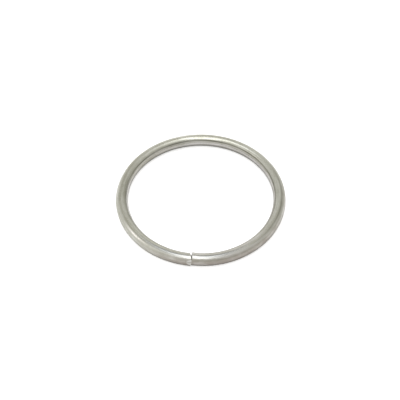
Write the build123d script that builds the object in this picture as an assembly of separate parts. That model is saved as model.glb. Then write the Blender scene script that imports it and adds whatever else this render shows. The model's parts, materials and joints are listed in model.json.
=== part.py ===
from build123d import *
from math import atan2, cos, degrees, radians, sin
import os

# A retaining ring for a shaft: one length of round spring wire, coiled to a circle, closed and sheared off.
# The ring lies flat. Its axis is Z, its wire is centred on Z = 0, and its split faces -Y.
# The end at -X of the split is the plain end. The end at +X is the tucked end, bent a little inwards.
# Each end is coiled with some spare wire past the split, which the shear then takes off.
# The cut slants in plan, to -X on the inside of the ring, and it leans from upright, to +X at the top.
# The plain end is shaped on a short stub of the coil, which the rest of the coil then joins.

# Driving dimensions, in millimetres and degrees
INSIDE_DIAMETER = 30.0
WIRE_DIAMETER = 2.5
SPLIT_AT_INSIDE = 0.5
SPLIT_AT_OUTSIDE = 0.04
SPLIT_SLANT = 9.0
SPLIT_LEAN = 9.0
TUCK_LENGTH = 7.5
TUCK_DEPTH = 0.2
LIP_LENGTH = 1.4
LIP_HEIGHT = 0.1
BITE_LENGTH = 0.7
BITE_DEPTH = 0.16
BITE_TILT = 20.0
EDGE_BREAK = 0.03
SPARE_WIRE = 0.5
STUB_LENGTH = 3.0

# Worked out from the driving dimensions
WIRE_RADIUS = WIRE_DIAMETER / 2
COIL_RADIUS = INSIDE_DIAMETER / 2 + WIRE_RADIUS
SPLIT_DIRECTION = -90.0
SPLIT_CENTRE = Vector(0, -COIL_RADIUS, 0)
SPLIT_TAPER = degrees(atan2((SPLIT_AT_INSIDE - SPLIT_AT_OUTSIDE) / 2, WIRE_DIAMETER))
CUT_REACH = 2 * WIRE_DIAMETER


def coil_line():
    """The centre line of the true coil, from the spare wire at the split round to where the tuck starts."""
    spare_angle = degrees(SPARE_WIRE / COIL_RADIUS)
    tuck_angle = degrees(TUCK_LENGTH / COIL_RADIUS)
    return CenterArc((0, 0), COIL_RADIUS, SPLIT_DIRECTION + spare_angle, tuck_angle - 360 - spare_angle)


def tuck_line(coil):
    """The centre line of the tucked end: a tighter arc, from the end of the coil to past the split."""
    bend_radius = 1 / (1 / COIL_RADIUS + 2 * TUCK_DEPTH / TUCK_LENGTH**2)
    start = coil @ 1
    centre = start * (1 - bend_radius / COIL_RADIUS)
    start_angle = degrees(atan2(start.Y, start.X))
    return CenterArc(centre, bend_radius, start_angle, -degrees((TUCK_LENGTH + SPARE_WIRE) / bend_radius))


def across(line, length):
    """The plane across a centre line at that length along it, with its X up and its Y to the inside of the ring."""
    place = length / line.length
    return Plane(line @ place, x_dir=(0, 0, 1), z_dir=line % place)


def wire_along(line):
    """Round wire along a centre line."""
    return sweep(across(line, 0) * Circle(WIRE_RADIUS), path=line)


def lipped_tip(line):
    """The last of the tucked end, which the shear has pushed out into a lip on the inside of the ring."""
    sections = []
    for share in (0, 0.5, 1, 1 + SPARE_WIRE / LIP_LENGTH):
        rise = LIP_HEIGHT * share**2
        oval = Ellipse(WIRE_RADIUS, WIRE_RADIUS + rise / 2)
        place = across(line, TUCK_LENGTH - LIP_LENGTH * (1 - share))
        sections.append(place * Pos(0, rise / 2) * oval)
    return loft(sections)


def shear_blade(side):
    """A block with one face on the cut of the end at +X (side 1) or -X (side -1) of the split."""
    half_split = (SPLIT_AT_INSIDE + SPLIT_AT_OUTSIDE) / 4
    across_wire = Rot(Y=SPLIT_LEAN) * Rot(Z=SPLIT_SLANT - side * SPLIT_TAPER)
    cut = Pos(side * half_split, SPLIT_CENTRE.Y) * across_wire
    toward_split = Align.MAX if side > 0 else Align.MIN
    return cut * Box(CUT_REACH, CUT_REACH, CUT_REACH, align=(toward_split, Align.CENTER, Align.CENTER))


def cutter_bite(coil):
    """The flat that a cutter's jaw has left on the outside of the plain end, deepest at the tip."""
    tilt = radians(BITE_TILT)
    tip = across(coil, SPARE_WIRE)
    root = across(coil, SPARE_WIRE + BITE_LENGTH)
    deepest = tip.from_local_coords((WIRE_RADIUS - BITE_DEPTH) * Vector(sin(tilt), -cos(tilt)))
    runout = root.from_local_coords(WIRE_RADIUS * Vector(sin(tilt), -cos(tilt)))
    along = (deepest - runout).normalized()
    outward = (deepest - tip.origin).normalized()
    sideways = along.cross(outward)
    flat = Plane(runout, x_dir=along, z_dir=sideways.cross(along))
    return flat * Box(CUT_REACH, CUT_REACH, CUT_REACH, align=(Align.CENTER, Align.CENTER, Align.MIN))


def break_rim(end):
    """Takes the sharp rim off the cut face."""
    cut_face = end.faces().filter_by(GeomType.PLANE).sort_by_distance(SPLIT_CENTRE)[0]
    return chamfer(cut_face.edges(), EDGE_BREAK)


def plain_end(coil):
    """The first of the coil, sheared off at -X of the split."""
    stub = wire_along(coil.trim(0, STUB_LENGTH / coil.length))
    return break_rim(stub - shear_blade(-1)) - cutter_bite(coil)


def rest_of_coil(coil):
    """The true coil, from the plain end round to the tuck."""
    return wire_along(coil.trim(STUB_LENGTH / coil.length, 1))


def tucked_end(tuck):
    """The bent last of the wire, sheared off at +X of the split."""
    bend = wire_along(tuck.trim(0, (TUCK_LENGTH - LIP_LENGTH) / tuck.length))
    return break_rim(bend + lipped_tip(tuck) - shear_blade(1))


def retaining_ring():
    coil = coil_line()
    tuck = tuck_line(coil)
    return plain_end(coil) + rest_of_coil(coil) + tucked_end(tuck)


os.makedirs("parts", exist_ok=True)
ring = retaining_ring()
export_step(ring, "parts/retaining_ring.step")
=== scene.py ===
import json
from math import atan, cos, pi, radians, sin, sqrt, tan

import bpy
import numpy as np
from bpy.props import FloatProperty, FloatVectorProperty, IntProperty, PointerProperty
from mathutils import Matrix, Vector


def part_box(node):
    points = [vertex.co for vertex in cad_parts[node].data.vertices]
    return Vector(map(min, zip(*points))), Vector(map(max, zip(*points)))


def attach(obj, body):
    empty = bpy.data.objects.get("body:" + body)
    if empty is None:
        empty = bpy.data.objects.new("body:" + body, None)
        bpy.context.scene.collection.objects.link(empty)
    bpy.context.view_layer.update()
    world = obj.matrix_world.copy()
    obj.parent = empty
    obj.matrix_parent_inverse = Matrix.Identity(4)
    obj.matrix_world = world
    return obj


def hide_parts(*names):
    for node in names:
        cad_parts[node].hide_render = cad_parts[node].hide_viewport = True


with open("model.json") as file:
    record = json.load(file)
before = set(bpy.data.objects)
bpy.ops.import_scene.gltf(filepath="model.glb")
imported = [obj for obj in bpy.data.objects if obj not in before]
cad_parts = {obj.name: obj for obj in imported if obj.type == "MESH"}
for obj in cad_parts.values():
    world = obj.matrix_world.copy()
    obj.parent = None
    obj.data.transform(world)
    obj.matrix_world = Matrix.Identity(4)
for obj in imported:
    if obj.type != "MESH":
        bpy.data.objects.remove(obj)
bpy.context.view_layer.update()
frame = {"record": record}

bl_info = {
    "name": "Wire retaining ring",
    "version": (1, 0, 0),
    "blender": (4, 5, 0),
    "location": "3D View > Sidebar > Ring",
    "description": "Makes a round-wire retaining ring with a sheared split, and a table and lights for it",
    "category": "Add Mesh",
}

# What the frame says about the ring, in metres
NODE = "retaining_ring"
NODE_LOW, NODE_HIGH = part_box(NODE)
MILLIMETRE = 0.001
WIRE_DIAMETER = NODE_HIGH.z - NODE_LOW.z
GROOVE_SEAT = next(m for m in frame["record"]["mounts"] if m["name"] == "groove_seat")
INSIDE_DIAMETER = 2 * GROOVE_SEAT["dims"]["r_mm"] * MILLIMETRE


def length(name, description, millimetres):
    """A length that a user can change, with its default in millimetres."""
    default = millimetres * MILLIMETRE
    return FloatProperty(name=name, description=description, default=default, unit="LENGTH", precision=6)


def angle(name, description, degrees):
    """An angle that a user can change, with its default in degrees."""
    return FloatProperty(name=name, description=description, default=radians(degrees), subtype="ANGLE")


def colour(name, description, default):
    """A colour that a user can change."""
    return FloatVectorProperty(
        name=name, description=description, default=default, subtype="COLOR", min=0, max=1)


def share(name, description, default, highest=1.0):
    """A plain number that a user can change."""
    return FloatProperty(name=name, description=description, default=default, min=0, max=highest)


class RingSizes(bpy.types.PropertyGroup):
    """The ring's sizes, and how its wire is cut at the split."""
    inside_diameter: length("Inside diameter", "Across the inside of the ring", INSIDE_DIAMETER / MILLIMETRE)
    wire_diameter: length("Wire diameter", "Thickness of the round wire", WIRE_DIAMETER / MILLIMETRE)
    split_at_inside: length("Split at inside", "Width of the split on the inside of the ring", 0.5)
    split_at_outside: length("Split at outside", "Width of the split on the outside of the ring", 0.04)
    split_slant: angle("Split slant", "How far the cut turns from straight across the wire", 9)
    split_lean: angle("Split lean", "How far the cut leans from upright", 9)
    tuck_length: length("Tuck length", "How much of the wire's end is bent inwards", 7.5)
    tuck_depth: length("Tuck depth", "How far the bent end has moved inwards", 0.2)
    lip_length: length("Lip length", "How much of the bent end the shear has swollen", 1.4)
    lip_height: length("Lip height", "How far the lip stands up from the wire", 0.1)
    bite_length: length("Bite length", "Length of the flat that the cutter left", 0.7)
    bite_depth: length("Bite depth", "Depth of the cutter's flat at the tip", 0.16)
    bite_tilt: angle("Bite tilt", "How far the cutter's flat faces upwards", 20)
    bite_score: length("Bite score", "Depth of the line scored along the cutter's flat", 0.045)
    edge_break: length("Edge break", "Rounding of the rim of each cut face", 0.03)


class WireSurface(bpy.types.PropertyGroup):
    """What drawing, coiling and handling have left on the wire, and the colours of the painted highlights and
    shade on it.
    """
    draw_line_depth: length("Draw line depth", "Depth of the broad lines that the die left", 0.006)
    twist: angle("Twist", "How far the wire turned to and fro about its own line as it was coiled", 5)
    die_line_depth: length("Die line depth", "Depth of the sharp lines that a worn die has left", 0.025)
    die_line_width: length("Die line width", "Width of each of those sharp lines", 0.27)
    scoring_depth: length("Scoring depth", "Depth of the fine lines along the wire", 0.0016)
    rim_fill: share("Rim fill", "How much of its half of the split the torn part of each rim fills", 0.75)
    tear_fill: share("Tear fill", "How much of what is left of that half each torn face fills", 0.45)
    nicks: IntProperty(name="Nicks", description="How many small dents the wire has", default=34, min=0)
    nick_depth: length("Nick depth", "Depth of the deepest dent", 0.014)
    steel: colour("Steel", "Drawn spring steel where it is clean", (0.664, 0.647, 0.64))
    yellowed_steel: colour("Yellowed steel", "Clean steel away from the split", (0.653, 0.651, 0.61))
    film: colour("Film", "The thin olive film that drawing soap leaves", (0.335, 0.325, 0.262))
    film_cover: share("Film cover", "How much of the wire the film dulls", 0.36)
    # The soap colour also paints the scored line on the cutter's flat dark.
    soap: colour("Soap", "Old drawing soap, dark in the die lines", (0.085, 0.082, 0.055))
    # The stain is partly real brown handling marks and partly painted shade on the lower outside near the
    # split.
    stain_and_shade: colour("Stain", "The brown of handling, outside and near the split", (0.33, 0.295, 0.262))
    stain_and_shade_cover: share("Stain cover", "How much of the metal the stain hides", 0.82)
    # Rubbed steel, also used for painted highlights: the bright streak left of the split and the painted
    # sheen beside the die line.
    rubbed_steel_and_sheen: colour("Rubbed steel", "Steel rubbed bright by handling", (0.95, 0.92, 0.9))
    # Painted shade: this grey dims the top highlight beside the split.
    highlight_shade_grey: colour("Gripped steel", "Grey steel that a tool has gripped", (0.31, 0.312, 0.31))
    bare_steel: colour("Bare steel", "Fresh metal on the cutter's flat", (0.62, 0.61, 0.585))
    torn_steel: colour("Torn steel", "Dull metal where the shear tore through", (0.5, 0.49, 0.465))
    roughness: share("Roughness", "Roughness of the drawn surface where it is smoothest", 0.15)
    scuffing: share("Scuffing", "How much rougher the outside of the ring is than the inside", 0.16)


class StudioLook(bpy.types.PropertyGroup):
    """The table, the room, the lights and the camera."""
    table: colour("Table", "The table's colour", (0.94, 0.925, 0.95))
    table_glow: share("Table glow", "What makes the table white, without lighting the ring more", 0.55)
    mirrored_glow: share("Mirrored glow", "How much of that white the metal shows", 0.36)
    # Painted contact shade: the table as the metal sees it turns dark under the ring, within this reach and
    # in this colour.
    contact_reach: length("Contact reach", "How far the dark under the ring reaches in the metal", 3)
    painted_contact_shade: colour("Table in contact", "The dark under the ring, in the metal", (0.1, 0.098, 0.108))
    # Painted light and shade in the table that the metal sees: dark in front of and behind the ring, pale at
    # each side.
    painted_shade_near: colour("Table near", "The table in front and behind, in the metal", (0.0, 0.0, 0.0))
    painted_light_aside: colour("Table aside", "The table at each side, in the metal", (0.92, 0.96, 1.0))
    room: colour("Room", "The plain room round the table", (0.672, 0.671, 0.632))
    panel_light: share("Panel light", "Brightness of the panel overhead, where 1 is white", 1.9, 20)
    side_light: share("Side light", "Brightness of the light low on the left, where 1 is white", 2.1, 20)
    camera_azimuth: angle("Camera azimuth", "Where the camera stands round the ring", 7.05)
    camera_elevation: angle("Camera elevation", "How steeply the camera looks down", 49.4)
    camera_roll: angle("Camera roll", "How far the camera leans", 0.3)
    camera_distance: length("Camera distance", "From the camera to where it looks", 162.5)


UP = np.array([0.0, 0.0, 1.0])

# How finely the wire is divided: spokes are round it, and steps along it
SPOKES = 96
COIL_STEP = 0.14 * MILLIMETRE
TIP_STRETCH = 1.6 * MILLIMETRE
TIP_STEPS = 46
TIP_EASE = 1.7
CUT_FACE_RINGS = 9
CUT_FINDING_STEPS = 8
# Each die line has spokes of its own, as far to each side of its middle as this share of its width.
# The even spokes keep clear of its middle by this many times as far.
SPOKES_IN_A_DIE_LINE = 5
DIE_LINE_SPREAD = 0.7
DIE_LINE_CLEARANCE = 1.3
# Faces that meet at a greater angle than this look sharp
SHARP_ANGLE = radians(34)

# A cut is smooth nearer to the shear's entry than these shares of the wire's radius, on its face and its rim.
# Beyond, TEAR_ONSET says how fast it turns torn, TEAR_RISE how fast the tear rises from the rim inwards,
# and TEAR_VARIES how high it is from point to point.
CUT_SMOOTHLY = 0.62
RIM_CUT_SMOOTHLY = 0.25
TEAR_ONSET = 4
TEAR_RISE = 5
TEAR_VARIES = (0.6, 1)
# How near to the tip the cutter's flat can reach, in its own lengths, the least that a spoke counts as square
# to it, and the share of its depth at which the metal is all bare
BITE_REACH = 3
LEAST_SQUARENESS = 0.2
ALL_BARE_DEPTH = 0.15
# The line scored along the flat: its width, and how much of it is painted dark with the torn steel's colour
# and the soap's dark colour
SCORE_WIDTH = 0.1 * MILLIMETRE
SCORE_SHOWS = 0.8

# Each die line: its angle from the crest of the wire to the inside of the ring, its strength,
# and where along the wire it is strongest and how far it reaches from there, as shares of the whole length
DIE_LINES = (
    (radians(43.5), 1.0, 0.52, 0.33),
    (radians(-20.5), 0.5, 0.79, 0.1),
)
# How far a die line wanders and how uneven it is, and how many times each comes back in one turn of the ring.
# For each radian between two lines, UNEVEN_SHIFT sets their unevenness apart.
DIE_LINE_WANDER, WANDERS = 0.035, 2
DIE_LINE_UNEVENNESS, UNEVEN_PLACES = 0.15, 11
UNEVEN_SHIFT = 5
# How the wire turned about its own line as it was coiled, and the share of its length where that was most
TWISTS_ROUND_THE_RING = 1
MOST_TWISTED = 0.58

# The waves round the wire that make its draw lines. In one turn of the ring each sways and fades at least
# the first number of times and fewer than the second.
DRAW_LINE_WAVES = range(3, 21)
DRAW_LINE_CYCLES = (1, 5)
DRAW_LINE_SWAY = 0.5
DRAW_LINE_FADING = 0.4
# Nicks: the least and the greatest length and width, the least depth as a share of the greatest,
# and how far they keep from each end
NICK_LENGTHS = (0.12, 0.6)
NICK_WIDTHS = (0.1, 0.28)
NICK_DEPTHS = (0.25, 1)
NICKS_FROM_PLAIN_END = 2 * MILLIMETRE
NICKS_FROM_TUCKED_END = 8 * MILLIMETRE

# What picks the draw lines, the nicks and the tears, and what picks the patterns of the finish
SEED = 7
PATTERN = 5.0


class Wire:
    """The wire's surface, laid out by the length along it and the angle round it."""

    def __init__(self, sizes, surface):
        self.sizes = sizes
        self.surface = surface
        self.radius = sizes.wire_diameter / 2
        self.coil_radius = sizes.inside_diameter / 2 + self.radius
        self.length = 2 * pi * self.coil_radius
        self.tuck_start = self.length - sizes.tuck_length
        self.tuck_radius = 1 / (1 / self.coil_radius + 2 * sizes.tuck_depth / sizes.tuck_length**2)
        self.chance = np.random.default_rng(SEED)

    @staticmethod
    def level(heading):
        """The level direction at an angle from +X."""
        return np.stack([np.cos(heading), np.sin(heading), np.zeros_like(heading)], -1)

    @staticmethod
    def entry(inward):
        """The direction from the wire's middle to where the shear entered: inwards and up."""
        return (inward + UP) / sqrt(2)

    def line(self, along):
        """The centre line's points, its directions along the wire, and its directions to the inside."""
        past_start = np.maximum(along - self.tuck_start, 0)
        turned = (along - past_start) / self.coil_radius + past_start / self.tuck_radius
        heading = -pi / 2 - turned
        inward = -self.level(heading)
        start_heading = -pi / 2 - self.tuck_start / self.coil_radius
        shift = (self.coil_radius - self.tuck_radius) * self.level(np.asarray(start_heading))
        tucked = (along > self.tuck_start)[..., None]
        reach = np.where(tucked, self.tuck_radius, self.coil_radius)
        point = np.where(tucked, shift, 0) - reach * inward
        forward = np.stack([np.sin(heading), -np.cos(heading), np.zeros_like(heading)], -1)
        return point, forward, inward

    def round_the_ring(self, along, times, shift=0.0):
        """A wave that comes back so many times in one turn of the ring."""
        return np.sin(2 * pi * times * along / self.length + shift)

    def twist(self, along):
        """How far the wire has turned from the crest to the inside of the ring."""
        quarter_turn = pi / 2
        most = 2 * pi * TWISTS_ROUND_THE_RING * MOST_TWISTED
        return self.surface.twist * self.round_the_ring(along, TWISTS_ROUND_THE_RING, quarter_turn - most)

    def past_cut(self, side, points):
        """How far points are to +X of the cut of the plain end (side -1) or the tucked end (side 1)."""
        sizes = self.sizes
        taper = atan((sizes.split_at_inside - sizes.split_at_outside) / 2 / sizes.wire_diameter)
        slant = sizes.split_slant - side * taper
        half_split = (sizes.split_at_inside + sizes.split_at_outside) / 4
        middle = np.array([side * half_split, -self.coil_radius, 0])
        lean = sizes.split_lean
        square_to_cut = np.array([cos(slant) * cos(lean), sin(slant), -cos(slant) * sin(lean)])
        return (points - middle) @ square_to_cut / square_to_cut[0]

    def tips(self, spokes):
        """How far along the wire each spoke meets the cut of the plain end, and of the tucked end."""
        ends = []
        for side, near in ((-1, 0.0), (1, self.length)):
            along = np.full_like(spokes, near)
            for _ in range(CUT_FINDING_STEPS):
                points, centres = self.round_wire(along, spokes, 0)
                along = along + self.past_cut(side, points)
            _, _, inward = self.line(along)
            torn = self.torn(((points - centres) * self.entry(inward)).sum(-1), RIM_CUT_SMOOTHLY)
            ends.append(along + side * self.surface.rim_fill * torn * np.abs(self.past_cut(0, points)))
        return ends

    def torn(self, toward_entry, smooth_part):
        """How torn a cut is, from 0 to 1, by how far a point is toward where the shear entered."""
        return np.clip(TEAR_ONSET * (smooth_part - toward_entry / self.radius), 0, 1)

    def stations(self):
        """Lengths along the wire: close together at both ends, and even between them."""
        tip = np.linspace(0, 1, TIP_STEPS) ** TIP_EASE * TIP_STRETCH
        count = int((self.length - 2 * TIP_STRETCH) / COIL_STEP)
        middle = np.linspace(TIP_STRETCH, self.length - TIP_STRETCH, count)[1:-1]
        return np.concatenate([tip, middle, self.length - tip[::-1]])

    def spokes(self):
        """Angles round the wire, from the inside of the ring upwards: even, but closer at each die line."""
        spokes = np.linspace(0, 2 * pi, SPOKES, endpoint=False)
        spread = DIE_LINE_SPREAD * self.surface.die_line_width / self.radius
        for turn, *_ in DIE_LINES:
            middle = pi / 2 - turn
            spokes = spokes[np.abs(spokes - middle % (2 * pi)) > DIE_LINE_CLEARANCE * spread]
            spokes = np.append(spokes, middle + np.linspace(-spread, spread, SPOKES_IN_A_DIE_LINE))
        return np.sort(spokes % (2 * pi))

    def fitted_lengths(self, spokes):
        """The lengths along the wire of its skin, fitted to both cuts, and how far they are from each cut."""
        first, last = self.tips(spokes)
        base = self.stations()[:, None]
        near_first = np.clip(1 - base / TIP_STRETCH, 0, 1)
        near_last = np.clip(1 - (self.length - base) / TIP_STRETCH, 0, 1)
        along = base + first * near_first - (self.length - last) * near_last
        return along, along - first, last - along

    def die_lines(self, along, spokes):
        """How much of a die line is at each point, from 0 to 1."""
        amount = np.zeros(np.broadcast(along, spokes).shape)
        wander = DIE_LINE_WANDER * self.round_the_ring(along, WANDERS)
        for turn, strength, strongest, reach in DIE_LINES:
            aside = self.radius * (spokes - (pi / 2 - turn) - wander)
            fade = np.exp(-(((along / self.length - strongest) / reach) ** 2))
            wave = self.round_the_ring(along, UNEVEN_PLACES, UNEVEN_SHIFT * turn)
            uneven = 1 - DIE_LINE_UNEVENNESS + DIE_LINE_UNEVENNESS * wave
            amount += strength * fade * uneven * np.exp(-((2 * aside / self.surface.die_line_width) ** 2))
        return np.minimum(amount, 1)

    def draw_lines(self, along, spokes):
        """The broad, shallow lines that the drawing die leaves, which fade in and out along the wire."""
        depth = np.zeros(np.broadcast(along, spokes).shape)
        for waves in DRAW_LINE_WAVES:
            phase, drift, fade = self.chance.uniform(0, 2 * pi, 3)
            sways, fades = self.chance.integers(*DRAW_LINE_CYCLES, 2)
            sway = DRAW_LINE_SWAY * self.round_the_ring(along, sways, drift)
            strength = 1 - DRAW_LINE_FADING + DRAW_LINE_FADING * self.round_the_ring(along, fades, fade)
            depth += strength * np.cos(waves * spokes + phase + sway) / sqrt(waves)
        return depth * self.surface.draw_line_depth

    def dents(self, along, spokes):
        """Small nicks and rubbed spots from handling."""
        depth = np.zeros(np.broadcast(along, spokes).shape)
        for _ in range(self.surface.nicks):
            place = self.chance.uniform(NICKS_FROM_PLAIN_END, self.length - NICKS_FROM_TUCKED_END)
            turn = self.chance.uniform(0, 2 * pi)
            long = self.chance.uniform(*NICK_LENGTHS) * MILLIMETRE
            wide = self.chance.uniform(*NICK_WIDTHS) * MILLIMETRE
            deep = self.surface.nick_depth * self.chance.uniform(*NICK_DEPTHS) ** 2
            aside = self.radius * np.sin((spokes - turn) / 2) * 2
            depth += deep * np.exp(-(((along - place) / long) ** 2) - (aside / wide) ** 2)
        return depth

    def round_wire(self, along, spokes, worn):
        """Points on the round wire and its swollen lip, worn down a little, and their centres."""
        share_of_lip = np.maximum(1 - (self.length - along) / self.sizes.lip_length, 0)
        rise = self.sizes.lip_height * share_of_lip**2
        radius = self.radius - worn
        turned = spokes - self.twist(along)
        inwards = rise / 2 + (radius + rise / 2) * np.cos(turned)
        upwards = radius * np.sin(turned)
        centre, _, inward = self.line(along)
        return centre + inwards[..., None] * inward + upwards[..., None] * UP, centre

    def skin(self, along, spokes, from_tip, to_tip):
        """The wire's surface points, before the cutter's flat."""
        edge = self.sizes.edge_break
        near = np.clip(np.minimum(from_tip, to_tip), 0, edge)
        rounding = edge - np.sqrt(edge**2 - (edge - near) ** 2)
        worn = self.draw_lines(along, spokes) + self.dents(along, spokes)
        worn += self.surface.die_line_depth * self.die_lines(along, spokes)
        return self.round_wire(along, spokes, rounding + worn * (near / edge))

    def bite(self, skin, centres, places_along):
        """Presses the cutter's flat into the plain end. Says how deep it went and how scored it is."""
        sizes = self.sizes
        point, _, inward = self.line(np.array([0, sizes.bite_length]))
        out_of_flat = -cos(sizes.bite_tilt) * inward + sin(sizes.bite_tilt) * UP
        deepest = point[0] + (self.radius - sizes.bite_depth) * out_of_flat[0]
        runout = point[1] + self.radius * out_of_flat[1]
        along = (deepest - runout) / np.linalg.norm(deepest - runout)
        sideways = np.cross(along, out_of_flat[0])
        normal = np.cross(sideways, along)
        normal /= np.linalg.norm(normal)
        across = (skin - runout) @ sideways / np.linalg.norm(sideways)
        above = (skin - runout) @ normal
        on_plain_end = places_along < BITE_REACH * sizes.bite_length
        scored = np.exp(-((across / SCORE_WIDTH) ** 2)) * np.clip(above / sizes.bite_score, 0, 1)
        scored = scored * on_plain_end
        pressed = np.where(on_plain_end, np.maximum(above, 0), 0) + sizes.bite_score * scored
        spoke = skin - centres
        spoke /= np.linalg.norm(spoke, axis=-1, keepdims=True)
        square = np.maximum(spoke @ normal, LEAST_SQUARENESS)
        return skin - spoke * (pressed / square)[..., None], pressed, scored

    def cut_face(self, rim, forward, entry):
        """Rings of points from a rim in to its middle, smooth where the shear entered and torn beyond."""
        middle = rim.mean(0)
        rings = []
        for ring in range(1, CUT_FACE_RINGS):
            inset = ring / CUT_FACE_RINGS
            points = rim + (middle - rim) * inset
            torn = self.torn((points - middle) @ entry, CUT_SMOOTHLY)
            half_split = np.abs(self.past_cut(0, points))
            proud = self.surface.tear_fill * half_split * torn * self.chance.uniform(*TEAR_VARIES, len(rim))
            rings.append((points - forward * proud[:, None] * min(1, TEAR_RISE * inset), torn))
        return rings, middle


def ring_mesh(wire):
    """The ring as a closed mesh: its points, its faces, each point's length along the wire, and its looks."""
    spokes = wire.spokes()
    along, from_first, to_last = wire.fitted_lengths(spokes)
    spokes = spokes + 0 * along
    skin, centres = wire.skin(along, spokes, from_first, to_last)
    skin, pressed, scored = wire.bite(skin, centres, along)
    bare = np.clip(pressed / (ALL_BARE_DEPTH * wire.sizes.bite_depth), 0, 1)
    # The scored line is painted dark: it takes the torn steel's colour and the soap's dark colour.
    torn = SCORE_SHOWS * scored
    soap = wire.die_lines(along, spokes) + torn
    groups = [(skin.reshape(-1, 3), along.ravel(), bare.ravel(), torn.ravel(), soap.ravel())]

    numbers = np.arange(along.size).reshape(along.shape)
    after = np.roll(numbers, -1, 1)
    quads = np.stack([numbers[:-1], after[:-1], after[1:], numbers[1:]], -1)
    faces = quads.reshape(-1, 4).tolist()

    for row, side in ((0, 1), (-1, -1)):
        made = sum(len(group[0]) for group in groups)
        end_groups, end_faces = closed_end(wire, skin[row], along[row], numbers[row], side, made)
        groups += end_groups
        faces += end_faces
    points, places, bare, torn, soap = (np.concatenate(column) for column in zip(*groups))
    return points, faces, places, {"bare": bare, "torn": torn, "soap": soap}


def closed_end(wire, rim, along, outer, side, made):
    """The cut face inside a rim of points, numbered on from those made: its points and its faces."""
    middle_along = along.mean(keepdims=True)
    _, forward, inward = wire.line(middle_along)
    rings, middle = wire.cut_face(rim, forward[0] * side, wire.entry(inward[0]))
    groups = []
    faces = []
    for ring, torn in rings:
        inner = made + np.arange(len(ring))
        quads = np.stack([outer, inner, np.roll(inner, -1), np.roll(outer, -1)], 1)
        faces += quads[:, ::side].tolist()
        groups.append((ring, along, 1 - torn, torn, 0 * torn))
        outer = inner
        made += len(ring)
    faces += [[int(a), made, int(b)][::side] for a, b in zip(outer, np.roll(outer, -1))]
    groups.append((middle[None], middle_along, np.zeros(1), np.ones(1), np.zeros(1)))
    return groups, faces


def unrolled(points, places, wire):
    """Each point's place on the wire as it was before coiling, in millimetres: along, inwards and up."""
    centre, _, inward = wire.line(places)
    inwards = ((points - centre) * inward).sum(-1)
    return np.stack([places, inwards, points[:, 2]], -1) / MILLIMETRE


class Strand:
    """A socket that can be written with in a sum, such as 1 - mask * 0.5."""

    def __init__(self, finish, socket):
        self.finish = finish
        self.socket = socket

    def maths(self, operation, *values, clamp=False):
        settings = {"operation": operation, "use_clamp": clamp}
        return self.finish.add("ShaderNodeMath", settings, dict(enumerate(values)))

    def __add__(self, other):
        return self.maths("ADD", self, other)

    def __sub__(self, other):
        return self.maths("SUBTRACT", self, other)

    def __rsub__(self, other):
        return self.maths("SUBTRACT", other, self)

    def __mul__(self, other):
        return self.maths("MULTIPLY", self, other)

    def __pow__(self, other):
        return self.maths("POWER", self, other)

    __radd__ = __add__
    __rmul__ = __mul__

    def held(self):
        """The value kept between 0 and 1."""
        return self.maths("ADD", self, 0, clamp=True)

    def at_least(self, lowest):
        return self.maths("MAXIMUM", self, lowest)

    def at_most(self, highest):
        return self.maths("MINIMUM", self, highest)

    def from_to(self, low, high):
        """0 below one value, 1 above another, and even between them."""
        return ((self - low) * (1 / (high - low))).held()

    def within(self, start, full, fading, end):
        """0 outside a stretch, and 1 well inside it."""
        return self.from_to(start, full) * (1 - self.from_to(fading, end))


class Finish:
    """The nodes of one material or of the world."""

    def __init__(self, owner):
        owner.use_nodes = True
        self.tree = owner.node_tree
        self.tree.nodes.clear()

    def add(self, kind, settings=None, values=None, output=0):
        """Adds a node, with its settings before the values or links of its sockets. Gives one output."""
        node = self.tree.nodes.new(kind)
        for name, value in (settings or {}).items():
            setattr(node, name, value)
        for name, value in (values or {}).items():
            if isinstance(value, Strand):
                self.tree.links.new(value.socket, node.inputs[name])
            else:
                node.inputs[name].default_value = value
        return Strand(self, node.outputs[output]) if len(node.outputs) else None

    def stored(self, name, output="Fac"):
        """What the mesh stores under a name at each point."""
        return self.add("ShaderNodeAttribute", {"attribute_name": name}, output=output)

    def parts(self, vector):
        """A vector's three numbers."""
        split = self.add("ShaderNodeSeparateXYZ", None, {"Vector": vector}).socket.node
        return [Strand(self, output) for output in split.outputs]

    def toward(self, place, direction):
        """How far a place is in a direction."""
        vectors = {0: place, 1: direction}
        return self.add("ShaderNodeVectorMath", {"operation": "DOT_PRODUCT"}, vectors, "Value")

    def mix(self, factor, low, high):
        """One colour turning into another."""
        values = {"Factor": factor, 6: low, 7: high}
        return self.add("ShaderNodeMix", {"data_type": "RGBA"}, values, 2)

    def noise(self, place, along, across, detail, roughness):
        """A pattern that changes so often in a millimetre along and across the wire."""
        stretched = {0: place, 1: (along, across, across)}
        values = {
            "Vector": self.add("ShaderNodeVectorMath", {"operation": "MULTIPLY"}, stretched),
            "W": PATTERN,
            "Scale": 1.0,
            "Detail": detail,
            "Roughness": roughness,
        }
        return self.add("ShaderNodeTexNoise", {"noise_dimensions": "4D"}, values, "Fac")


def opaque(rgb):
    return (*rgb, 1.0)


# The patterns on the wire: how often each changes in a millimetre along and across it, detail and roughness
BROAD_LINES = (0.07, 1.7, 2.0, 0.5)
FINE_LINES = (0.35, 11.0, 3.0, 0.6)
SCORING = (0.8, 30.0, 2.0, 0.6)
BLOTCHES = (0.45, 1.1, 4.0, 0.6)
GRAIN = (7.0, 16.0, 3.0, 0.6)
CROSS_TICKS = (3.2, 0.9, 2.0, 0.55)
# How deep each pattern goes, as a share of the scoring's depth
FINE_LINE_RELIEF, SCORING_RELIEF, GRAIN_RELIEF, TICK_RELIEF = 0.5, 0.3, 0.12, 0.1
# How much of the film each pattern makes, and how much is added on the left
FILM_IN_BROAD_LINES, FILM_IN_FINE_LINES = 0.6, 0.3
FILM_IN_BLOTCHES, FILM_IN_TICKS = 0.4, 0.15
FILM_ON_THE_LEFT = 0.16
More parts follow.
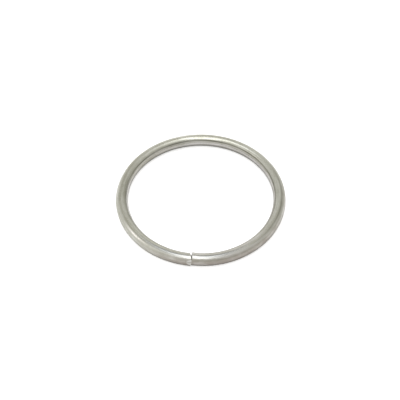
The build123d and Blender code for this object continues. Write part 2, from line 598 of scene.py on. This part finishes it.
# Where each mark starts, is full, begins to fade and ends, in millimetres. ALONG counts along the wire from
# the plain end, FROM_SPLIT from the nearer end, and OUTWARDS, INWARDS and UPWARDS from the wire's middle.
LEFT_FILM_ALONG = (12, 28, 40, 50)
YELLOWED_ALONG = (1, 9, 76, 92)
YELLOWED_OUTWARDS = (-1.15, -0.7)
CLEAR_OF_STAIN_AND_SHADE_ALONG = (2, 12, 62, 88)
STAIN_AND_SHADE_OUTWARDS = (0.6, 1.2)
HIGHLIGHT_SHADE_FROM_SPLIT = (0.5, 3, 7, 13)
HIGHLIGHT_SHADE_OUTWARDS = (-0.2, 0.05, 0.3, 0.7)
RUBBED_HIGHLIGHT_ALONG = (8.5, 12.5, 13, 16.5)
RUBBED_HIGHLIGHT_OUTWARDS = (0.45, 0.65, 0.72, 0.95)
RUBBED_HIGHLIGHT_UPWARDS = (0, 0.4)
# Where the painted sheen beside the die line starts, is full, begins to fade and ends along the wire
SHEEN_ON_THE_LEFT, SHEEN_ON_THE_RIGHT = (24, 29, 36, 42), (64, 69, 73, 80)
BESIDE_DIE_LINE_INWARDS = (0.6, 0.9)
BESIDE_DIE_LINE_UPWARDS = (0.45, 0.57, 0.62, 0.78)
SCUFFED_OUTWARDS = (0.35, 1.15)
# How much of the painted shade over the highlight shows at the very end, and how much each mark covers where
# it is full
HIGHLIGHT_SHADE_AT_SPLIT = 0.35
HIGHLIGHT_SHADE_COVER = 0.85
BESIDE_DIE_LINE_COVER = 0.45
BARE_COVER = 0.85
# How much rougher each makes the steel
FILM_ROUGHENS, GRAIN_ROUGHENS = 0.1, 0.08
BARE_ROUGHENS, TORN_ROUGHENS, SOAP_ROUGHENS = 0.05, 0.3, 0.2


class Marks:
    """How much of each pattern and mark is at a place on the wire, from 0 to 1."""

    def __init__(self, finish, wire_length):
        place = finish.stored("unrolled", "Vector")
        self.along, self.inwards, self.upwards = finish.parts(place)
        self.outwards = 0 - self.inwards
        self.from_split = self.along.at_most(wire_length / MILLIMETRE - self.along)
        self.broad_lines = finish.noise(place, *BROAD_LINES)
        self.fine_lines = finish.noise(place, *FINE_LINES)
        self.scoring = finish.noise(place, *SCORING)
        self.blotches = finish.noise(place, *BLOTCHES)
        self.grain = finish.noise(place, *GRAIN)
        self.cross_ticks = finish.noise(place, *CROSS_TICKS)

    def film(self):
        """The drawing film, worn to lines and blotches, and thicker on the left."""
        broad = FILM_IN_BROAD_LINES * self.broad_lines.from_to(0.38, 0.62)
        fine = FILM_IN_FINE_LINES * self.fine_lines.from_to(0.3, 0.7)
        blotched = FILM_IN_BLOTCHES * self.blotches.from_to(0.42, 0.7)
        ticked = FILM_IN_TICKS * self.cross_ticks.from_to(0.52, 0.72)
        return broad + fine + blotched + ticked + FILM_ON_THE_LEFT * self.along.within(*LEFT_FILM_ALONG)

    def yellowed(self):
        """The slight yellowing of all but the inside, away from the split."""
        return self.outwards.from_to(*YELLOWED_OUTWARDS) * self.along.within(*YELLOWED_ALONG)

    def stained_and_shaded(self):
        """The blotched brown stain of handling on the outside near the split. It also serves as painted
        shade: it darkens the lower outside, where the metal shows the ring's shadow on the table.
        """
        near_split = 1 - self.along.within(*CLEAR_OF_STAIN_AND_SHADE_ALONG)
        return near_split * self.outwards.from_to(*STAIN_AND_SHADE_OUTWARDS) * self.blotches.from_to(0.2, 0.55)

    def shade_over_highlight(self):
        """Painted shade on the crest of the wire beside the split, laid over the top highlight to dim it."""
        start, full, fading, end = HIGHLIGHT_SHADE_FROM_SPLIT
        growing = HIGHLIGHT_SHADE_AT_SPLIT + (1 - HIGHLIGHT_SHADE_AT_SPLIT) * self.from_split.from_to(start, full)
        near_split = growing * (1 - self.from_split.from_to(fading, end))
        return near_split * self.outwards.within(*HIGHLIGHT_SHADE_OUTWARDS)

    def rubbed_highlight(self):
        """The bright patch left of the split, along the fine lines: partly rubbed steel and partly a painted
        highlight, a thin bright streak.
        """
        patch = self.along.within(*RUBBED_HIGHLIGHT_ALONG) * self.outwards.within(*RUBBED_HIGHLIGHT_OUTWARDS)
        return patch * self.upwards.from_to(*RUBBED_HIGHLIGHT_UPWARDS) * self.fine_lines.from_to(0.3, 0.5)

    def sheen_beside_die_line(self):
        """A painted sheen: the bright line under the die line at both sides of the ring."""
        at_sides = self.along.within(*SHEEN_ON_THE_LEFT) + self.along.within(*SHEEN_ON_THE_RIGHT)
        line = self.inwards.from_to(*BESIDE_DIE_LINE_INWARDS) * self.upwards.within(*BESIDE_DIE_LINE_UPWARDS)
        return at_sides * line

    def scuffed(self):
        """The outside of the ring, scuffed by handling."""
        return self.outwards.from_to(*SCUFFED_OUTWARDS)

    def relief(self):
        """How high the steel stands: fine lines, scoring and grain, with short ticks cut across them."""
        lines = self.fine_lines * FINE_LINE_RELIEF + self.scoring * SCORING_RELIEF
        return lines + self.grain * GRAIN_RELIEF - self.cross_ticks.from_to(0.6, 0.72) * TICK_RELIEF


def drawn_spring_steel(surface, wire_length):
    """Dull drawn wire: fine lines along it, an olive film between them, and bare metal at the cuts."""
    material = bpy.data.materials.new("drawn_spring_steel")
    finish = Finish(material)
    marks = Marks(finish, wire_length)
    bare = finish.stored("bare")
    torn = finish.stored("torn")
    soap = finish.stored("soap")
    film = (marks.film() * (2 * surface.film_cover) * (1 - bare)).held()

    metal = finish.mix(marks.yellowed(), opaque(surface.steel), opaque(surface.yellowed_steel))
    layers = (
        (film, surface.film),
        # Stain, partly painted shade on the lower outside near the split
        (marks.stained_and_shaded() * surface.stain_and_shade_cover, surface.stain_and_shade),
        # Painted shade over the highlight beside the split
        (marks.shade_over_highlight() * HIGHLIGHT_SHADE_COVER, surface.highlight_shade_grey),
        # Rubbed steel and a painted highlight left of the split
        (marks.rubbed_highlight(), surface.rubbed_steel_and_sheen),
        # Painted sheen beside the die line
        (marks.sheen_beside_die_line() * BESIDE_DIE_LINE_COVER, surface.rubbed_steel_and_sheen),
        (soap, surface.soap),
        (bare * BARE_COVER, surface.bare_steel),
        (torn, surface.torn_steel),
    )
    for amount, tint in layers:
        metal = finish.mix(amount, metal, opaque(tint))

    rough = surface.roughness + FILM_ROUGHENS * film + GRAIN_ROUGHENS * marks.grain.from_to(0.35, 0.7)
    rough = rough + surface.scuffing * marks.scuffed()
    rough = rough + BARE_ROUGHENS * bare + TORN_ROUGHENS * torn + SOAP_ROUGHENS * soap
    normal = finish.add("ShaderNodeBump", None, {
        "Strength": 1.0,
        "Distance": surface.scoring_depth,
        "Height": marks.relief(),
    }, "Normal")
    steel = finish.add("ShaderNodeBsdfPrincipled", None, {
        "Base Color": metal,
        "Metallic": 1.0,
        "Roughness": rough,
        "Normal": normal,
    })
    finish.add("ShaderNodeOutputMaterial", None, {"Surface": steel})
    return material


# Where the table and the lights are, in metres. The panel's edges are at these angles from upright.
TABLE_SIZE = 4.0
PANEL_HEIGHT = 0.5
PANEL_NEAR, PANEL_FAR = radians(-27), radians(27)
PANEL_LEFT, PANEL_RIGHT = radians(-13.5), radians(6)
PANEL_TINT = (0.93, 0.96, 1.0)
SIDE_LIGHT_DISTANCE = 0.4
SIDE_LIGHT_AZIMUTH, SIDE_LIGHT_ELEVATION = radians(-95), radians(38)
SIDE_LIGHT_SIZE = (0.075, 0.05)
SIDE_LIGHT_TINT = (1.0, 0.95, 0.93)
# Each paler side of the room: azimuth and elevation in degrees, how much paler, and how tight
SIDES_OF_ROOM = (
    (-112, 30, 0.45, 4),
    (-8, 8, 0.42, 8),
    (92, 15, 0.14, 6),
    (180, 5, 0.24, 4),
    (-50, 0, 0.16, 8),
    (10, 83, 0.8, 16),
    (-95, 70, 0.4, 40),
    (90, 72, 0.2, 40),
    (4, 24, 0.5, 50),
)
# How pale the metal shows the table, as painted light: everywhere, more to the left, and more to both sides,
# with painted shade in front of and behind the ring
PALER_EVERYWHERE, PALER_TO_LEFT, PALER_TO_SIDES = 0.25, 0.3, 0.5
CONTACT_SAMPLES = 8
BLACK, WHITE = opaque((0.0, 0.0, 0.0)), opaque((1.0, 1.0, 1.0))
# Where the ring is in the picture, and the camera's sensor in millimetres
PIXELS_ACROSS = 400
PIXELS_RIGHT_OF_MIDDLE = 0.7
PIXELS_ABOVE_MIDDLE = 3.9
PIXELS_PER_COIL_RADIUS = 78.6
SENSOR_WIDTH = 36.0


class Studio:
    """Directions as the camera's stand sees them: right, away over the table, and up."""

    def __init__(self, azimuth):
        self.right = Vector((cos(azimuth), sin(azimuth), 0))
        self.away = Vector((-sin(azimuth), cos(azimuth), 0))
        self.up = Vector((0, 0, 1))

    def place(self, right, away, up):
        return self.right * right + self.away * away + self.up * up

    def direction(self, azimuth, elevation):
        """Azimuth 0 is away from the camera, and 90 degrees is to its right."""
        level = cos(elevation)
        return self.place(sin(azimuth) * level, cos(azimuth) * level, sin(elevation))


def white_table(look, studio, ring_radius):
    """A pale matt table that the camera sees as white. The metal sees it with painted light, paler to each
    side of the ring, and with painted shade in front, behind and under the ring.
    """
    material = bpy.data.materials.new("white_table")
    finish = Finish(material)
    seen = finish.add("ShaderNodeLightPath", output="Is Camera Ray")
    in_metal = finish.add("ShaderNodeLightPath", output="Is Glossy Ray")
    in_glass = finish.add("ShaderNodeLightPath", output="Is Transmission Ray")
    mirrored = (in_metal + in_glass).held()

    # Painted contact shade: where the ring hides the table, the table's colour that the metal sees turns
    # dark.
    contact = {"Distance": look.contact_reach}
    open_to_light = finish.add("ShaderNodeAmbientOcclusion", {"samples": CONTACT_SAMPLES}, contact, "AO")
    in_contact = mirrored * (1 - open_to_light).held()
    matt = finish.add("ShaderNodeBsdfDiffuse", None, {
        "Color": finish.mix(in_contact, opaque(look.table), opaque(look.painted_contact_shade)),
    })

    # Painted light: the glow that the metal sees is paler to each side of the ring and more to the left, and
    # darker in front of and behind it.
    place = finish.add("ShaderNodeTexCoord", output="Object")
    to_left = finish.toward(place, studio.right * (-1 / ring_radius))
    paler = (PALER_EVERYWHERE + PALER_TO_LEFT * to_left + PALER_TO_SIDES * to_left * to_left).held()
    shown = finish.mix(paler, opaque(look.painted_shade_near), opaque(look.painted_light_aside))
    # Painted contact shade in the glow that the metal sees, fading to black near the ring.
    shown = finish.mix(open_to_light ** 2, BLACK, shown)
    glow = finish.add("ShaderNodeEmission", None, {
        "Color": finish.mix(seen, shown, WHITE),
        "Strength": seen * look.table_glow + mirrored * look.mirrored_glow,
    })
    both = finish.add("ShaderNodeAddShader", None, {0: matt, 1: glow})
    finish.add("ShaderNodeOutputMaterial", None, {"Surface": both})
    return material


def soft_room(look, studio):
    """A plain room with paler sides."""
    world = bpy.data.worlds.new("soft_room")
    finish = Finish(world)
    direction = finish.add("ShaderNodeTexCoord", output="Generated")
    brightness = 1
    for azimuth, elevation, paler, tightness in SIDES_OF_ROOM:
        facing = finish.toward(direction, studio.direction(radians(azimuth), radians(elevation)))
        brightness = brightness + facing.at_least(0) ** tightness * paler
    light = finish.add("ShaderNodeBackground", None, {"Color": opaque(look.room), "Strength": brightness})
    finish.add("ShaderNodeOutputWorld", None, {"Surface": light})
    return world


def add_light(name, location, target, size, brightness, tint):
    """A soft rectangular light of a known brightness, where 1 is white."""
    data = bpy.data.lights.new(name, "AREA")
    data.shape = "RECTANGLE"
    data.size, data.size_y = size
    data.energy = brightness * pi * size[0] * size[1]
    data.color = tint
    light = bpy.data.objects.new(name, data)
    light.location = location
    light.rotation_mode = "QUATERNION"
    light.rotation_quaternion = (target - location).to_track_quat("-Z", "Y")
    bpy.context.scene.collection.objects.link(light)
    return light


def add_panel_light(look, studio):
    """The panel overhead, square to the camera's stand. Its edges are set by their angles from upright."""
    near, far = PANEL_HEIGHT * tan(PANEL_NEAR), PANEL_HEIGHT * tan(PANEL_FAR)
    left, right = PANEL_HEIGHT * tan(PANEL_LEFT), PANEL_HEIGHT * tan(PANEL_RIGHT)
    middle = studio.place((left + right) / 2, (near + far) / 2, PANEL_HEIGHT)
    size = (right - left, far - near)
    panel = add_light("panel_light", middle, middle - studio.up, size, look.panel_light, PANEL_TINT)
    panel.rotation_quaternion = Matrix.Rotation(look.camera_azimuth, 4, "Z").to_quaternion()


def add_camera(ring, look, studio):
    """A camera at the photograph's viewing angle and distance."""
    coil_radius = (ring.inside_diameter + ring.wire_diameter) / 2
    data = bpy.data.cameras.new("camera")
    data.sensor_width = SENSOR_WIDTH
    pixels_per_metre = PIXELS_PER_COIL_RADIUS / coil_radius
    data.lens = pixels_per_metre * look.camera_distance / PIXELS_ACROSS * SENSOR_WIDTH
    data.shift_x = -PIXELS_RIGHT_OF_MIDDLE / PIXELS_ACROSS
    data.shift_y = -PIXELS_ABOVE_MIDDLE / PIXELS_ACROSS
    data.clip_start = look.camera_distance / 100
    data.clip_end = 2 * TABLE_SIZE
    camera = bpy.data.objects.new("camera", data)
    back = studio.direction(pi, look.camera_elevation)
    facing = (-back).to_track_quat("-Z", "Y").to_matrix().to_4x4()
    lean = Matrix.Rotation(-look.camera_roll, 4, "Z")
    camera.matrix_world = Matrix.Translation(back * look.camera_distance) @ facing @ lean
    bpy.context.scene.collection.objects.link(camera)
    bpy.context.scene.camera = camera


def new_mesh_object(name, points, faces, material):
    """A mesh with one material, in the scene."""
    mesh = bpy.data.meshes.new(name)
    mesh.from_pydata(np.asarray(points).tolist(), [], faces)
    if mesh.validate():
        raise RuntimeError(f"{name} has faces that aren't sound")
    mesh.materials.append(material)
    made = bpy.data.objects.new(name, mesh)
    bpy.context.scene.collection.objects.link(made)
    return made


def store(mesh, name, kind, field, values):
    """Keeps a value at each point of a mesh, where the finish reads it."""
    mesh.attributes.new(name, kind, "POINT").data.foreach_set(field, values.ravel())


class MakeRing(bpy.types.Operator):
    """Coils the wire, shears its ends and gives it its finish"""
    bl_idname = "wire_ring.make_ring"
    bl_label = "Make the ring"

    def execute(self, context):
        surface = context.scene.wire_surface
        wire = Wire(context.scene.ring_sizes, surface)
        points, faces, places, looks = ring_mesh(wire)
        ring = new_mesh_object("coiled_wire", points, faces, drawn_spring_steel(surface, wire.length))
        store(ring.data, "unrolled", "FLOAT_VECTOR", "vector", unrolled(points, places, wire))
        for name, amount in looks.items():
            store(ring.data, name, "FLOAT", "value", amount)
        ring.data.shade_smooth()
        ring.data.set_sharp_from_angle(angle=SHARP_ANGLE)
        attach(ring, "root")
        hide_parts(NODE)
        return {"FINISHED"}


class MakeStage(bpy.types.Operator):
    """Lays the table, hangs the lights and sets the camera"""
    bl_idname = "wire_ring.make_stage"
    bl_label = "Make the stage"

    def execute(self, context):
        look = context.scene.studio_look
        ring = context.scene.ring_sizes
        studio = Studio(look.camera_azimuth)
        half = TABLE_SIZE / 2
        height = -ring.wire_diameter / 2
        corners = [(x * half, y * half, height) for x, y in ((-1, -1), (1, -1), (1, 1), (-1, 1))]
        white = white_table(look, studio, ring.inside_diameter / 2)
        new_mesh_object("table", corners, [[0, 1, 2, 3]], white)

        add_panel_light(look, studio)
        side = studio.direction(SIDE_LIGHT_AZIMUTH, SIDE_LIGHT_ELEVATION) * SIDE_LIGHT_DISTANCE
        add_light("side_light", side, Vector(), SIDE_LIGHT_SIZE, look.side_light, SIDE_LIGHT_TINT)
        context.scene.world = soft_room(look, studio)
        context.scene.view_settings.view_transform = "Standard"
        add_camera(ring, look, studio)
        return {"FINISHED"}


class RingPanel(bpy.types.Panel):
    """The ring's sizes and the buttons that make it"""
    bl_idname = "VIEW3D_PT_wire_ring"
    bl_label = "Wire retaining ring"
    bl_space_type = "VIEW_3D"
    bl_region_type = "UI"
    bl_category = "Ring"

    def draw(self, context):
        for group in (context.scene.ring_sizes, context.scene.wire_surface, context.scene.studio_look):
            box = self.layout.box()
            for name in group.__annotations__:
                box.prop(group, name)
        for maker in (MakeRing, MakeStage):
            self.layout.operator(maker.bl_idname)


CLASSES = (RingSizes, WireSurface, StudioLook, MakeRing, MakeStage, RingPanel)


def register():
    for made in CLASSES:
        bpy.utils.register_class(made)
    bpy.types.Scene.ring_sizes = PointerProperty(type=RingSizes)
    bpy.types.Scene.wire_surface = PointerProperty(type=WireSurface)
    bpy.types.Scene.studio_look = PointerProperty(type=StudioLook)


def unregister():
    del bpy.types.Scene.studio_look
    del bpy.types.Scene.wire_surface
    del bpy.types.Scene.ring_sizes
    for made in reversed(CLASSES):
        bpy.utils.unregister_class(made)


def main():
    """Makes everything."""
    register()
    bpy.ops.wire_ring.make_ring()
    bpy.ops.wire_ring.make_stage()


if __name__ == "__main__":
    main()
